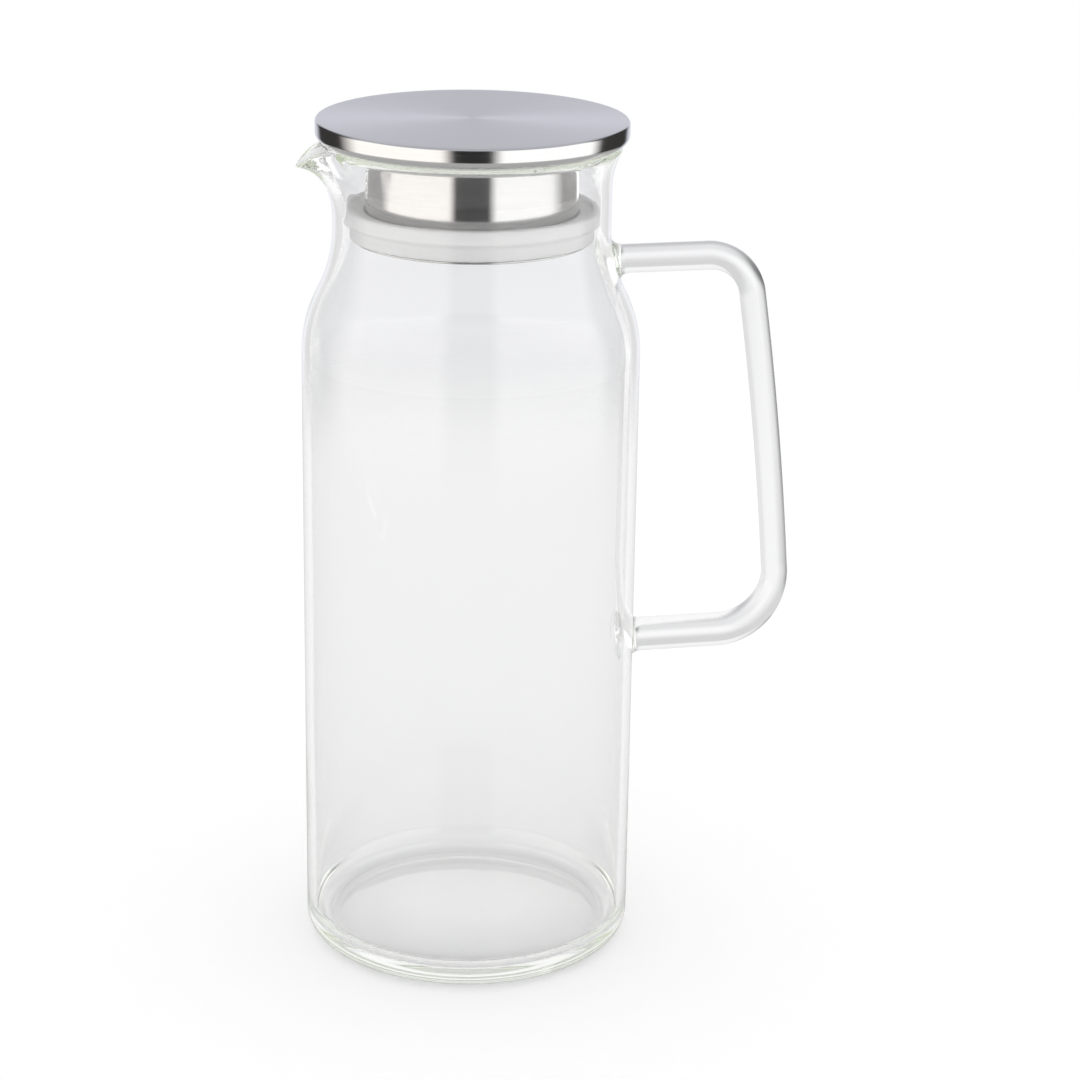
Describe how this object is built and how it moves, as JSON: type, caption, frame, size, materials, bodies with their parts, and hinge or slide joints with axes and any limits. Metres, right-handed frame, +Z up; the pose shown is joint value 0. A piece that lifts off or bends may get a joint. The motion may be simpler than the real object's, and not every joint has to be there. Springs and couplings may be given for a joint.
{
  "type": "glass pitcher with lid",
  "caption": "Tall clear glass pitcher with a pulled spout, a bent glass rod handle and a lift-out steel lid with a strainer sleeve and silicone seal ring.",
  "frame": {"origin": "centre of the flat base on the axis of the glass body, on the table", "axes": "+Z up along the body's axis, +X towards the handle, -X towards the spout"},
  "size_m": [0.1514, 0.1, 0.255],
  "materials": {
    "clear_glass": "clear, fire polished",
    "handle_glass": "clear, fire polished",
    "white_silicone": "translucent satin",
    "brushed_cap_steel": "circular brushed top, polished edge",
    "plate_steel": "satin",
    "sleeve_steel": "satin, drawn"
  },
  "bodies": {
    "pitcher": {"glass_body": "clear_glass", "glass_handle": "handle_glass"},
    "seal": {"seal_ring": "white_silicone"},
    "lid": {"lid_cap": "brushed_cap_steel", "lid_base_plate": "plate_steel", "strainer_sleeve": "sleeve_steel"}
  },
  "joints": [
    {"name": "lid_lift", "type": "slide", "parent": "pitcher", "child": "seal", "axis": [0, 0, 1], "range_m": [0, 0.06]},
    {"name": "lid_turn", "type": "hinge", "parent": "seal", "child": "lid", "pos_m": [0, 0, 0.235], "axis": [0, 0, 1], "continuous": true}
  ]
}
